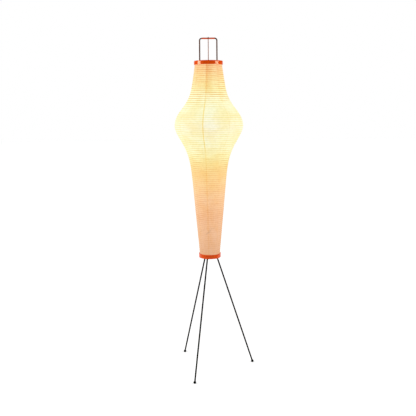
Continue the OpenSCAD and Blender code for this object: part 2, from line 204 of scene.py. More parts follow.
def mottle(tree, size, low, high, stretch=(1, 1, 1), detail=3.0):
    """A cloudy value between low and high, in patches of this many millimetres times the stretch."""
    scale = [1 / (size * MM * times) for times in stretch]
    place = node(tree, "Mapping", {0: node(tree, "TexCoord").node.outputs["Object"], "Scale": scale})
    cloud = node(tree, "TexNoise", {"Vector": place, "Scale": 1.0, "Detail": detail})
    return node(
        tree,
        "MapRange",
        {"Value": cloud, "From Min": NOISE_LOW, "From Max": NOISE_HIGH, "To Min": low, "To Max": high},
    )


def blend(tree, share, first, second, how="MIX"):
    """Goes from one colour to another with the share. Each is an sRGB hex value or a link."""
    first, second = (rgb(colour) if isinstance(colour, str) else colour for colour in (first, second))
    return node(tree, "Mix", {0: share, 6: first, 7: second}, data_type="RGBA", blend_type=how)


def surface(tree, shader, colour, roughness, relief, depth):
    """Links a colour, a roughness, and a relief of this depth in millimetres."""
    tree.links.new(colour, shader.inputs["Base Color"])
    tree.links.new(roughness, shader.inputs["Roughness"])
    bump = node(tree, "Bump", {"Strength": BUMP_STRENGTH, "Distance": depth * MM, "Height": relief})
    tree.links.new(bump, shader.inputs["Normal"])


def finish_nodes(finish, *names):
    """Gives CAD nodes this material."""
    for name in names:
        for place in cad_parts[name].material_slots:
            place.material = finish


rubber, tree, shader = material("black_rubber", {"Specular IOR Level": 0.08})
dust = mottle(tree, 3, 0, 1)
grain = mottle(tree, 0.4, 0, 1)
surface(tree, shader, blend(tree, dust, "#040404", "#0d0c0b"), mottle(tree, 2, 0.55, 0.8), grain, 0.02)
finish_nodes(rubber, "foot_a", "foot_b", "foot_c")

# ---- Legs and hub -----------------------------------------------------------------------
# Three straight steel rods screwed into a turned steel hub, stove-enamelled black. The enamel
# is satin and neutral, thinner and a little browner in places, over fine drawing lines.
black_steel, tree, shader = material("black_enamelled_steel", {"Specular IOR Level": 0.05})
thin = mottle(tree, 14, 0, 1, stretch=(0.3, 0.3, 2.5))
drawn = mottle(tree, 0.5, 0, 1, stretch=(1, 1, 30), detail=2.0)
satin = mottle(tree, 6, 0.42, 0.58, stretch=(1, 1, 4))
surface(tree, shader, blend(tree, thin, "#030303", "#0b0a0a"), satin, drawn, 0.015)
finish_nodes(black_steel, "hub", "leg_a", "leg_b", "leg_c")

# ---- Frame ------------------------------------------------------------------------------
# One long steel wire bent to a narrow frame, whose upper end is the handle, and a strip that
# braces the tube to it. Both are coloured a warmer brown than the legs: partly their finish,
# partly the warm light of the lit paper, painted into the colour.
brown_steel_and_warm_light, tree, shader = material("brown_steel_wire_and_painted_warm_light", {"Specular IOR Level": 0.15})
thin = mottle(tree, 14, 0, 1, stretch=(0.3, 0.3, 2.5))
drawn = mottle(tree, 0.5, 0, 1, stretch=(1, 1, 30), detail=2.0)
satin = mottle(tree, 6, 0.4, 0.56, stretch=(1, 1, 4))
surface(tree, shader, blend(tree, thin, "#45291a", "#6b4429"), satin, drawn, 0.015)
finish_nodes(brown_steel_and_warm_light, "frame_wire", "brace")

# ---- Inlet bush -------------------------------------------------------------------------
# A moulded nylon bush pressed into the hub's underside, where the supply cord goes in. Nylon
# is satin and black, with faint flow marks.
nylon, tree, shader = material("black_nylon", {"Specular IOR Level": 0.45})
flow = mottle(tree, 2.5, 0, 1, stretch=(1, 1, 3))
surface(tree, shader, blend(tree, flow, "#0e0e0e", "#1a1918"), mottle(tree, 1.5, 0.4, 0.55), flow, 0.03)
finish_nodes(nylon, "inlet_bush")

# ---- Tube, nuts and screws --------------------------------------------------------------
# A drawn steel tube that carries the lampholder, its two nuts, and the grub screws of the
# frame, all zinc plated and passivated: bright grey with a faint yellow cast and fine spangle.
zinc, tree, shader = material("zinc_plated_steel", {"Metallic": 1.0})
spangle = mottle(tree, 1.2, 0, 1)
drawn = mottle(tree, 0.4, 0, 1, stretch=(1, 1, 25), detail=2.0)
satin = mottle(tree, 4, 0.28, 0.45, stretch=(1, 1, 5))
surface(tree, shader, blend(tree, spangle, "#9d9a92", "#c9c4b4"), satin, drawn, 0.01)
finish_nodes(zinc, "stem", "stem_nuts", "frame_screws")


# ---- Grip -------------------------------------------------------------------------------
# A thin sleeve slipped over the handle's bar before it was bent, and dipped in the same
# orange lacquer as the rings. The dip rounds its ends off.
WELD_DISTANCE = 1e-6        # metres
SHARP_FROM = 40             # degrees between two faces, from which their edge stays sharp


def loft(name, rings, closed=False):
    """Skins a row of closed outlines, as a bar with two end faces or, if closed, as a ring."""
    count, points = rings.shape[:2]
    first = np.arange(count if closed else count - 1)[:, None] * points
    step = np.arange(points)
    after, beside = (first + points) % (count * points), (step + 1) % points
    faces = np.stack([first + step, first + beside, after + beside, after + step], axis=2)
    faces = faces.reshape(-1, 4).tolist()
    if not closed:
        faces += [list(range(points)), list(range((count - 1) * points, count * points))]
    mesh = bpy.data.meshes.new(name)
    mesh.from_pydata(rings.reshape(-1, 3).tolist(), [], faces)
    work = bmesh.new()
    work.from_mesh(mesh)
    bmesh.ops.remove_doubles(work, verts=work.verts, dist=WELD_DISTANCE)
    bmesh.ops.recalc_face_normals(work, faces=work.faces)
    work.to_mesh(mesh)
    work.free()
    mesh.shade_smooth()
    mesh.set_sharp_from_angle(angle=math.radians(SHARP_FROM))
    return mesh


def rounded(corners, steps=5):
    """The closed outline through (radius, height, rounding) corners in millimetres, in metres."""
    outline = []
    for i, (radius, height, soft) in enumerate(corners):
        here = np.array([radius, height], float)
        sides = [np.array(corners[j % len(corners)][:2], float) - here for j in (i - 1, i + 1)]
        start, end = (here + soft * side / np.hypot(*side) for side in sides)
        for t in np.linspace(0, 1, steps + 1 if soft else 1):
            outline.append((1 - t) ** 2 * start + 2 * t * (1 - t) * here + t * t * end)
    return np.array(outline) * MM


def turned(name, outline, rounds=96):
    """Turns a closed outline of (radius, height) points round the lamp's axis."""
    angle = 2 * math.pi * np.arange(rounds)[:, None] / rounds
    radius, height = np.asarray(outline).T
    rings = np.stack([radius * np.cos(angle), radius * np.sin(angle), height + 0 * angle], axis=2)
    return loft(name, rings, closed=True)


def piece(mesh, finish, body, slot, *nodes):
    """Makes an object of a mesh, which rides on a body and stands for these CAD nodes."""
    made = bpy.data.objects.new(mesh.name, mesh)
    bpy.context.scene.collection.objects.link(made)
    mesh.materials.append(finish)
    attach(made, body)
    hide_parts(*nodes)
    return made


# Polyester lacquer over a brushed primer, deep orange and glossy. Brush marks run round the
# ring, drawn twice as wide as real ones, and the colour is redder where it lies thick.
BRUSH_MARK = 1.1            # millimetres

lacquer, tree, shader = material("orange_lacquer", {"IOR": 1.5, "Specular Tint": rgb("#fffacb")})
brushed = mottle(tree, BRUSH_MARK, 0, 1, stretch=(30, 30, 1), detail=2.0)
thin = node(tree, "Math", {0: brushed, 1: mottle(tree, 12, 0, 1)}, operation="MULTIPLY")
surface(tree, shader, blend(tree, thin, "#d94300", "#ea5a00"), mottle(tree, 5, 0.13, 0.19), brushed, 0.002)

GRIP_BORE = 3.3             # millimetres, as a radius
GRIP_ROUND = 0.45           # rounding of its ends

grip_low, grip_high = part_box("grip")
grip_r = (grip_high.z - grip_low.z) / 2 / MM
grip_half = (grip_high.x - grip_low.x) / 2 / MM
grip_outline = [
    (GRIP_BORE, -grip_half, 0),
    (grip_r, -grip_half, GRIP_ROUND),
    (grip_r, grip_half, GRIP_ROUND),
    (GRIP_BORE, grip_half, 0),
]
grip_mesh = turned("grip_sleeve", rounded(grip_outline), rounds=36)
grip_mesh.transform(
    Matrix.Translation((0, 0, (grip_low.z + grip_high.z) / 2)) @ Matrix.Rotation(math.pi / 2, 4, "Y")
)
piece(grip_mesh, lacquer, "stand", "orange_lacquer", "grip")

# ---- Lampholder -------------------------------------------------------------------------
# A standard screw holder: cap and barrel moulded in black phenolic, which is glossy with
# faint swirls of filler, a core of off-white steatite, and contacts and screws in brass.
phenolic, tree, shader = material("black_phenolic", {"IOR": 1.6, "Coat Weight": 0.2, "Coat Roughness": 0.1})
swirl = mottle(tree, 5, 0, 1, detail=5.0)
surface(tree, shader, blend(tree, swirl, "#0d0b0a", "#1d1714"), mottle(tree, 3, 0.2, 0.34), swirl, 0.03)
finish_nodes(phenolic, "holder_cap", "holder_body")

steatite, tree, shader = material("steatite_ceramic", {"IOR": 1.55})
speck = mottle(tree, 0.8, 0, 1, detail=4.0)
surface(tree, shader, blend(tree, speck, "#d9d2c4", "#ece6da"), mottle(tree, 2, 0.35, 0.5), speck, 0.03)
finish_nodes(steatite, "holder_core")

brass, tree, shader = material("rolled_brass", {"Metallic": 1.0})
tarnish = mottle(tree, 3.5, 0, 1, detail=4.0)
colour = blend(tree, tarnish, "#a97f38", "#dcb566")
surface(tree, shader, colour, mottle(tree, 2, 0.25, 0.42), mottle(tree, 0.3, 0, 1), 0.01)
finish_nodes(brass, "centre_contact", "terminal_screws")

# The screw shell is rolled from thin sheet, with the thread of 7 turns to the inch pressed in.
THREAD_PITCH = 25.4 / 7     # millimetres
THREAD_FROM = (3, 5)        # above the cup's floor, where the thread starts and has its full depth
THREAD_UNTIL = (2.5, 4.5)   # below the cup's mouth, where it ends and has its full depth
SHELL_THREAD = 0.2
SHELL_WALL = 0.45
SHELL_FLOOR_R = 8
SHELL_STEPS = 80


def smooth(x, low, high):
    """0 below low, 1 above high, and a smooth step between."""
    t = np.clip((x - low) / (high - low), 0, 1)
    return t * t * (3 - 2 * t)


def threaded(name, radius, height, thread, wall, floor_r, rounds=72):
    """A thin screwed cup round the axis: radius and height of its wall, in millimetres."""
    step = np.arange(rounds) / rounds
    wave = 0.5 - 0.5 * np.cos(2 * math.pi * (height[:, None] / THREAD_PITCH - step))
    foot, mouth = height[0], height[-1]
    held = smooth(height, foot + THREAD_FROM[0], foot + THREAD_FROM[1])
    held = held * smooth(-height, THREAD_UNTIL[0] - mouth, THREAD_UNTIL[1] - mouth)
    outer = radius[:, None] - thread * held[:, None] * wave
    inner = outer[::-1] - wall
    lip = np.full((1, rounds), floor_r)
    radii = np.concatenate([lip, outer, inner, lip])
    inside = np.maximum(height[::-1], foot + wall)
    heights = np.concatenate([height[:1], height, inside, height[:1] + wall])
    angle = 2 * math.pi * step
    rings = np.stack([radii * np.cos(angle), radii * np.sin(angle), heights[:, None] + 0 * radii], axis=2)
    return loft(name, rings * MM, closed=True)


shell_low, shell_high = (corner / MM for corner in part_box("holder_shell"))
shell_height = np.linspace(shell_low.z, shell_high.z, SHELL_STEPS)
shell_radius = np.full(SHELL_STEPS, shell_high.x)
shell_mesh = threaded("screw_shell", shell_radius, shell_height, SHELL_THREAD, SHELL_WALL, SHELL_FLOOR_R)
piece(shell_mesh, brass, "stand", "brass", "holder_shell")

# ---- Bulb -------------------------------------------------------------------------------
# A globe of blown glass, coated white inside, on a screw cap of nickel-plated brass, with a
# black glass insulator and a blob of solder. The lit globe is brightest round its middle.
GLOBE_FOOT = -52            # degrees below its middle where the globe runs into the neck
GLOBE_STEPS = 40
GLASS_WALL = 0.8            # millimetres
NECK_INSET = 1.4            # from the cap's outside to the neck
NECK_RISE = 8               # straight part of the neck, held in the cap
FADE_STEPS = 12             # from the neck to the globe
LIT = (0.3, 0.6)            # strength of the light at the neck and at the globe's middle

glass_low, glass_high = (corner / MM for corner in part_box("bulb_glass"))
cap_low, cap_high = (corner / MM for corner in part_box("bulb_cap"))
globe_r = glass_high.x
globe_z = glass_high.z - globe_r
neck_r = cap_high.x - NECK_INSET
turn = np.radians(np.linspace(GLOBE_FOOT, 90, GLOBE_STEPS))
globe = np.stack([globe_r * np.cos(turn), globe_z + globe_r * np.sin(turn)], axis=1)
neck = np.array([[neck_r, glass_low.z], [neck_r, glass_low.z + NECK_RISE]])
share = np.linspace(0, 1, FADE_STEPS)[1:-1, None]
run = np.hypot(*(globe[0] - neck[1]))
fade = (2 * share**3 - 3 * share**2 + 1) * neck[1] + (3 * share**2 - 2 * share**3) * globe[0]
fade = fade + (share**3 - 2 * share**2 + share) * run * np.array([0, 1])
fade = fade + (share**3 - share**2) * run * np.array([-math.sin(turn[0]), math.cos(turn[0])])
outer = np.concatenate([neck, fade, globe])
tangent = np.gradient(outer, axis=0)
normal = np.stack([tangent[:, 1], -tangent[:, 0]], axis=1) / np.hypot(*tangent.T)[:, None]
inner = outer - GLASS_WALL * normal
inner[:, 0] = np.maximum(inner[:, 0], 0)
outer[-1, 0] = inner[-1, 0] = 0

opal, tree, shader = material(
    "opal_glass", {"Roughness": 0.18, "IOR": 1.52, "Coat Weight": 0.3, "Coat Roughness": 0.03}
)
height = node(tree, "SeparateXYZ", {0: node(tree, "TexCoord").node.outputs["Object"]}).node.outputs["Z"]
lit = node(
    tree,
    "MapRange",
    {
        "Value": height,
        "From Min": glass_low.z * MM,
        "From Max": globe_z * MM,
        "To Min": LIT[0],
        "To Max": LIT[1],
    },
    interpolation_type="SMOOTHSTEP",
)
coating = mottle(tree, 6, 0, 1, detail=4.0)
tree.links.new(blend(tree, coating, "#b9b1a3", "#c9c2b5"), shader.inputs["Base Color"])
tree.links.new(blend(tree, coating, "#ffdfa8", "#ffe7bc"), shader.inputs["Emission Color"])
tree.links.new(lit, shader.inputs["Emission Strength"])
glass_mesh = turned("globe", np.concatenate([outer, inner[::-1]]) * MM, rounds=72)
piece(glass_mesh, opal, "bulb", "opal_glass", "bulb_glass")

nickel, tree, shader = material("nickel_plated_brass", {"Metallic": 1.0})
stain = mottle(tree, 4, 0, 1, detail=4.0)
colour = blend(tree, stain, "#a39d90", "#d3ccbd")
surface(tree, shader, colour, mottle(tree, 2, 0.2, 0.36), mottle(tree, 0.3, 0, 1), 0.01)
CAP_THREAD = 1.0            # millimetres
CAP_WALL = 0.4
CAP_FLOOR_R = 8.2
CAP_CONE = (2, 3)           # across and up, at its foot
CAP_STEPS = 90
cap_height = np.linspace(cap_low.z, cap_high.z, CAP_STEPS)
cap_radius = cap_high.x - CAP_CONE[0] + (cap_height - cap_low.z) * CAP_CONE[0] / CAP_CONE[1]
cap_radius = np.minimum(cap_high.x, cap_radius)
cap_mesh = threaded("screw_cap", cap_radius, cap_height, CAP_THREAD, CAP_WALL, CAP_FLOOR_R)
piece(cap_mesh, nickel, "bulb", "nickel_cap", "bulb_cap")

black_glass, tree, shader = material("black_glass", {"IOR": 1.52})
colour = blend(tree, mottle(tree, 2, 0, 1), "#08080a", "#141418")
surface(tree, shader, colour, mottle(tree, 1, 0.06, 0.14), mottle(tree, 1.5, 0, 1), 0.02)
finish_nodes(black_glass, "bulb_insulator")
solder, tree, shader = material("tin_solder", {"Metallic": 1.0})
colour = blend(tree, mottle(tree, 1, 0, 1), "#7d7d7c", "#adadab")
surface(tree, shader, colour, mottle(tree, 0.8, 0.35, 0.6), mottle(tree, 0.7, 0, 1), 0.05)
finish_nodes(solder, "bulb_contact")

# ---- Rib --------------------------------------------------------------------------------
# One long strip of split bamboo, wound as a spiral on the form before the paper goes on.
# It carries the paper from inside. Bamboo is pale straw with brown fibres along the strip.
RIB_TURNS = 93
SPLIT_TURN = 30             # where the shade is parted, at its belly
RIB_END = 0.5               # turns by which the strip stops short of the rings
RIB_STEPS = 32              # outlines to a turn
BELLY_R = 165 * MM
BELLY_SHARE = 0.669         # height of the belly, as a share of the shade
BELLY_REACH = 101 * MM
BELLY_POWER_UP = 2.4
BELLY_POWER_DOWN = 1.8
WAIST_R = 100 * MM
WAIST_SOFT = 77 * MM
TOP_NECK_R = 66 * MM
BOTTOM_NECK_R = 48.9 * MM
PAPER_T = 0.25 * MM
RIB_T = 1.1 * MM
RIB_W = 1.5 * MM
RIB_BEHIND = 2.8 * PAPER_T  # from the paper's outside to the strip, clear of two layers

top_ring, bottom_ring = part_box("top_band"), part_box("bottom_band")
shade_z, shade_top_z = bottom_ring[0].z, top_ring[1].z
band_h = top_ring[1].z - top_ring[0].z
rib_top_z = shade_top_z - band_h
rib_bottom_z = shade_z + band_h
rib_pitch = (rib_top_z - rib_bottom_z) / RIB_TURNS
belly_z = shade_z + BELLY_SHARE * (shade_top_z - shade_z)
split_z = rib_top_z - SPLIT_TURN * rib_pitch
paper_top_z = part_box("paper_upper")[1].z
paper_bottom_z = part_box("paper_lower")[0].z


def taper_run(d):
    """How far a softened taper has run at a distance d from the waist."""
    return np.sqrt(d * d + WAIST_SOFT**2) - WAIST_SOFT


def shade_r(z):
    """Outer radius of the paper over the rib at height z: two tapers and the belly."""
    d = z - belly_z
    up = d > 0
    neck_r = np.where(up, TOP_NECK_R, BOTTOM_NECK_R)
    neck_d = np.where(up, rib_top_z - belly_z, belly_z - rib_bottom_z)
    power = np.where(up, BELLY_POWER_UP, BELLY_POWER_DOWN)
    taper = WAIST_R - (WAIST_R - neck_r) * taper_run(d) / taper_run(neck_d)
    return taper + (BELLY_R - WAIST_R) * np.exp(-((np.abs(d) / BELLY_REACH) ** power))


def rib(name, first, last):
    """The strip between two turns, counted from the top ring, with an eight-sided section."""
    turn = np.linspace(first, last, round((last - first) * RIB_STEPS) + 1)[:, None]
    z = rib_top_z - turn * rib_pitch
    side = np.radians(np.arange(22.5, 360, 45))
    corner = math.cos(math.pi / 8)
    r = shade_r(z) - RIB_BEHIND - RIB_T / 2 + RIB_T / 2 / corner * np.cos(side)
    z = z + RIB_W / 2 / corner * np.sin(side)
    angle = 2 * math.pi * turn
    return loft(name, np.stack([r * np.cos(angle), r * np.sin(angle), z], axis=2))


bamboo, tree, shader = material("split_bamboo", {"Specular IOR Level": 0.4})
fibre = mottle(tree, 0.3, 0, 1, stretch=(60, 60, 1), detail=2.0)
surface(tree, shader, blend(tree, fibre, "#a67c46", "#dcbf86"), mottle(tree, 8, 0.45, 0.65), fibre, 0.04)
piece(rib("upper_rib", RIB_END, SPLIT_TURN), bamboo, "lantern", "bamboo", "rib_upper")
lower_rib = piece(rib("lower_rib", SPLIT_TURN, RIB_TURNS - RIB_END), bamboo, "lantern", "bamboo", "rib_lower")
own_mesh(lower_rib)

# ---- Paper ------------------------------------------------------------------------------
# Eight gores of long-fibred mulberry paper, glued wet over the turns of the rib on a form,
# each lapped over the next. Drying pulls the paper tight, so it sinks a little between
# two turns. The lower half folds up like a concertina when the bottom ring is lifted.
GORES = 8
SEAM_TURN = 34.5 / 360      # of the first seam, in turns from +X
PAPER_SAG = 0.8 * MM        # between two turns of the rib
RIB_EDGE = 0.09             # where the paper leaves the rib, as a share of the pitch
TURN_ROWS = (0, RIB_EDGE, 0.3, 0.5, 0.7, 1 - RIB_EDGE)      # rows of points to a turn
SAG_SHAPE = ((0, RIB_EDGE, 0.3, 0.5), (0, 0.18, 0.82, 1))   # distance from a rib, and how far it has sunk
SPARE_TURNS = 4             # drawn past either ring, and cut off
COCKLE = 0.3                # share by which the sag varies
COCKLE_WAVES = (11, 5)      # round the shade
COCKLE_DRIFT = (1.7, 2.3)   # radians from one turn to the next
LAP_AT_BELLY = 4.5 * MM
LAP_AT_TOP = 12 * MM
LAP_AT_BOTTOM = 7 * MM
LAP_LIFT = 1.2 * PAPER_T    # of the upper layer
LAP_ROOM = 1.4 * PAPER_T    # kept for it under the shade's full width
GORE_COLUMNS = 16
LAP_COLUMNS = 2
GORE_TONES = (0.3, 0.7, 0.2, 0.0, 0.15, 1.0, 0.1, 0.4)       # how pale each gore's middle patch of the painted glow is near the bulb
SEAM_TONES = (0.25, 0.45, 0.2, 0.15, 1.0, 0.35, 0.15, 0.3)  # how dark the painted shade is at each gore's seam
CREASES = (                 # columns and rows of the picture where a crease starts and ends, and strength
    (205.8, 232.2, 210.7, 228.4, 1.0), (208.0, 229.5, 212.0, 226.0, 0.6),
    (199.4, 230.7, 205.4, 226.5, 0.35), (212.0, 226.5, 215.5, 224.7, 0.35),
)
CREASE_DEPTH = 0.9 * MM
CREASE_WIDTH = 3.2 * MM
CREASE_ENDS = 0.08          # a crease's ends are as deep as it is this share of its length further in
SWELL_RISE = 2 * CREASE_WIDTH       # above a crease, where the paper swells
SWELL_SHARE = 0.4
AXIS_COLUMN = 209.7         # of the lamp, at the height of the creases


def lap_width(z):
    """How far a gore laps over the next one: straight-cut edges lap more at the necks."""
    to_top = smooth(z, belly_z + BELLY_REACH, rib_top_z)
    to_bottom = smooth(-z, -belly_z + BELLY_REACH, -rib_bottom_z)
    return LAP_AT_BELLY + (LAP_AT_TOP - LAP_AT_BELLY) * to_top + (LAP_AT_BOTTOM - LAP_AT_BELLY) * to_bottom


def creased(x, y, z):
    """How deep the creases are at a point, to 1, and negative on the swelling above each."""
    depth = np.zeros_like(z)
    metres = -CAMERA_PLACE[1] / FOCAL_LENGTH            # to a pixel, at the lamp's axis
    for *ends, strength in CREASES:
        start, end = (
            np.array([(column - AXIS_COLUMN) * metres, CAMERA_PLACE[2] - (row - HORIZON_ROW) * metres])
            for column, row in (ends[:2], ends[2:])
        )
        line = end - start
        share = np.clip(((x - start[0]) * line[0] + (z - start[1]) * line[1]) / (line @ line), 0, 1)
        off = np.hypot(x - start[0] - share * line[0], z - start[1] - share * line[1])
        above = np.hypot(x - start[0] - share * line[0], z - SWELL_RISE - start[1] - share * line[1])
        fade = np.sin(math.pi * np.clip(share, CREASE_ENDS, 1 - CREASE_ENDS)) ** 0.5 * (y < 0) * strength
        swell = SWELL_SHARE * np.exp(-((above / CREASE_WIDTH) ** 2))
        depth += (np.exp(-((off / CREASE_WIDTH) ** 2)) - swell) * fade
    return depth


def gore_grid(index):
    """One gore's points, and for each its turns round and down, way past two seams, and crease."""
    rows = np.arange(-SPARE_TURNS, RIB_TURNS + SPARE_TURNS)[:, None] + np.array(TURN_ROWS)
    rows = rows.ravel()[:, None]
    share = np.arange(GORE_COLUMNS + 1) / GORE_COLUMNS
    lap = np.arange(1, LAP_COLUMNS + 1) / LAP_COLUMNS
    gore_around = SEAM_TURN + (index + share) / GORES
    edge_z = rib_top_z - (rows + gore_around[-1]) * rib_pitch
    lap_around = gore_around[-1] + lap * lap_width(edge_z) / (2 * math.pi * shade_r(edge_z))
    around = np.hstack([np.broadcast_to(gore_around, (len(rows), GORE_COLUMNS + 1)), lap_around])
    z = rib_top_z - (rows + around) * rib_pitch
    angle = 2 * math.pi * around
    off_rib = np.abs(rows - np.round(rows))
    sag = np.interp(off_rib, *SAG_SHAPE)
    wave = np.sin(COCKLE_WAVES[0] * angle + COCKLE_DRIFT[0] * np.floor(rows))
    cockle = 1 + COCKLE * wave * np.sin(COCKLE_WAVES[1] * angle - COCKLE_DRIFT[1] * np.floor(rows))
    free = smooth(z, rib_bottom_z, rib_bottom_z + rib_pitch) * smooth(-z, -rib_top_z, -rib_top_z + rib_pitch)
    crease = creased(shade_r(z) * np.cos(angle), np.sin(angle), z)
    lifted = np.concatenate([np.zeros(GORE_COLUMNS), np.ones(LAP_COLUMNS + 1)]) * LAP_LIFT
    r = shade_r(z) - LAP_ROOM + lifted
    r = r - (PAPER_SAG * cockle + CREASE_DEPTH * crease) * sag * free
    points = np.stack([r * np.cos(angle), r * np.sin(angle), z], axis=2)
    turns = np.stack([around, (rib_top_z - z) / rib_pitch], axis=2)
    past_seam = 2 * math.pi * r * (around - gore_around[0])
    past_lap = 2 * math.pi * r * (around - gore_around[-1])
    return points, turns, past_seam, past_lap, crease


def quads(rows, columns):
    """Corner numbers of each quad in a grid, row by row."""
    first = np.arange(rows - 1)[:, None] * columns + np.arange(columns - 1)
    return np.stack([first, first + columns, first + columns + 1, first + 1], axis=2).reshape(-1, 4)


points, faces, turns, seams, creases, tones, seam_shade_levels = [], [], [], [], [], [], []
for index in range(GORES):
    grid, around_down, past_seam, past_lap, crease = gore_grid(index)
    rows, columns = grid.shape[:2]
    corners = quads(rows, columns)
    lapped = np.tile(np.arange(columns - 1) >= GORE_COLUMNS, rows - 1)[:, None]
    past = np.where(lapped, past_lap.ravel()[corners], past_seam.ravel()[corners])
    faces.append(corners + index * rows * columns)
    points.append(grid.reshape(-1, 3))
    creases.append(crease.ravel())
    turns.append(around_down.reshape(-1, 2)[corners])
    seams.append(np.stack([past / MM, np.broadcast_to(lapped, past.shape).astype(float)], axis=2))
    tones.append(np.full(len(corners), GORE_TONES[index]))
    seam_shade_levels.append(np.where(lapped[:, 0], SEAM_TONES[index], SEAM_TONES[index - 1]))

shade_mesh = bpy.data.meshes.new("shade")
shade_mesh.from_pydata(np.concatenate(points).tolist(), [], np.concatenate(faces).tolist())
for name, values in (("turns", turns), ("seam", seams)):
    layer = shade_mesh.uv_layers.new(name=name)
    layer.uv.foreach_set("vector", np.concatenate(values).astype(np.float32).ravel())
for name, values, domain in (
    ("gore_tone", tones, "FACE"),
    ("seam_shade", seam_shade_levels, "FACE"),
    ("crease", creases, "POINT"),
):
    layer = shade_mesh.attributes.new(name, "FLOAT", domain)
    layer.data.foreach_set("value", np.concatenate(values).astype(np.float32))

# Mulberry paper is unsized and matte. The bulb's light through it is painted into its emission:
# a glow, cream where the bulb is near and amber to peach further off, clouded where the pulp
# lies thick, with painted shade along the fibres, the glued laps and the rib. Real fibres are
# 0.03 mm wide, drawn 0.5 mm to show.
GLOW = (                    # painted glow of the bulb's light, down the shade, from ring to ring
    (0.000, "#eebe84"), (0.060, "#f3da96"), (0.125, "#f3eeac"), (0.190, "#f4f7cf"), (0.330, "#f0edd8"),
    (0.420, "#f2f1cd"), (0.480, "#f4ecae"), (0.520, "#f1d889"), (0.565, "#efc97c"), (0.620, "#efc681"),
    (0.710, "#edbd89"), (0.790, "#e7af7d"), (0.880, "#e1ac81"), (1.000, "#d59e75"),
)
RIB_SHADOW = (              # what a turn of the rib, stuck fast, lets through of that light
    (0.000, "#efcc9d"), (0.060, "#e9b458"), (0.120, "#e6a700"), (0.170, "#e9b458"), (0.240, "#f1ecc0"),
    (0.400, "#f1ecc0"), (0.490, "#e2c976"), (0.585, "#f7e4cf"), (0.690, "#f2d8c7"), (0.790, "#edd2b9"),
    (0.870, "#f7eae1"), (1.000, "#f9efe2"),
)
# How near the bulb is, and how crinkled the paper is, at these shares of the way down.
NEAR_BULB = ((0.17, 0.0), (0.27, 0.8), (0.33, 1.0), (0.38, 0.9), (0.46, 0.0))
CRINKLED = ((0.30, 0.15), (0.60, 0.4), (0.72, 1.0), (1.0, 1.0))
RIB_FADE = (0.12, 0.28)     # shares of the pitch off a rib's middle, where its shadow fades and ends
STUCK_PATCHES = 7           # along one turn, where the rib shows more or less through the paper
STUCK_STEP = 3.7            # from one turn to the next, so that their patches differ
STUCK_LEVELS = (0.45, 1.0)
FIBRE_LENGTH = 18           # millimetres
FIBRE_WIDTH = 0.5
FIBRE_TURNS = (12, 71, 128)         # degrees
FIBRE_FROM = (0.64, 0.74)   # values of the noise, where a fibre starts and is full
FIBRE_SHADE = 0.2
CLOUD_SIZE = 9
CLOUD_LEVELS = (0.95, 1.03)
PATCH_SIZE = 55
PATCH_FROM = (0.4, 0.68)
CRINKLE_SIZE = 26
CRINKLE_TURN = -38          # degrees
CRINKLE_STRETCH = (0.55, 1.3, 1)
FOLD_WIDTH = 0.05           # in values of the noise, off its middle
FOLD_SHADE = 0.15
FOLD_RELIEF = 3.0
CREASE_SHADE = -0.22
PALE_MIDDLE = 0.27          # of a gore's width
PALE_REACH = (0.12, 0.45)   # off that middle, where the patch of painted glow fades and ends
LAP_FAR_LEVEL = 0.4         # of a lap's shade away from the bulb
LAP_FULL_FROM = 0.4         # nearness of the bulb, from which a lap has its full shade
BESIDE_SEAM_REACH = 36.0           # millimetres beside a seam, where painted shade darkens the glow
BESIDE_SEAM_DOWN = 0.2             # share of the way down, over which the painted shade beside a seam fades
PAPER_RELIEF = 0.15 * MM

washi, tree, shader = material(
    "mulberry_paper", {"Roughness": 0.88, "Specular IOR Level": 0.25, "Emission Strength": 1.0}
)
around, turn, _ = node(tree, "SeparateXYZ", {0: node(tree, "UVMap", uv_map="turns")}).node.outputs
past, lapped, _ = node(tree, "SeparateXYZ", {0: node(tree, "UVMap", uv_map="seam")}).node.outputs
down = node(tree, "Math", {0: turn, 1: RIB_TURNS}, operation="DIVIDE")
ramps = []
for stops in (GLOW, RIB_SHADOW, NEAR_BULB, CRINKLED):
    ramps.append(node(tree, "ValToRGB", {0: down}))
    elements = ramps[-1].node.color_ramp.elements
    while len(elements) < len(stops):
        elements.new(1.0)
    for element, (at, value) in zip(elements, stops):
        element.position = at
        element.color = rgb(value) if isinstance(value, str) else (value, value, value, 1)
glow, rib_shadow, near_bulb, crinkled = ramps

off_rib = node(tree, "Math", {0: turn, 1: around}, operation="SUBTRACT")
off_rib = node(tree, "Math", {0: off_rib, 1: 0.5}, operation="PINGPONG")
rib_line = node(
    tree,
    "MapRange",
    {"Value": off_rib, "From Min": RIB_FADE[0], "From Max": RIB_FADE[1], "To Min": 1.0, "To Max": 0.0},
    interpolation_type="SMOOTHSTEP",
)
which_turn = node(tree, "Math", {0: turn, 1: around}, operation="SUBTRACT")
which_turn = node(tree, "Math", {0: which_turn}, operation="ROUND")
along_rib = node(
    tree,
    "CombineXYZ",
    {
        0: node(tree, "Math", {0: around, 1: STUCK_PATCHES}, operation="MULTIPLY"),
        1: node(tree, "Math", {0: which_turn, 1: STUCK_STEP}, operation="MULTIPLY"),
    },
)
stuck = node(tree, "TexNoise", {"Vector": along_rib, "Scale": 1.0, "Detail": 1.0}, noise_dimensions="2D")
stuck = node(
    tree,
    "MapRange",
    {
        "Value": stuck,
        "From Min": NOISE_LOW,
        "From Max": NOISE_HIGH,
        "To Min": STUCK_LEVELS[0],
        "To Max": STUCK_LEVELS[1],
    },
)
rib_shade = node(tree, "Math", {0: rib_line, 1: stuck}, operation="MULTIPLY")

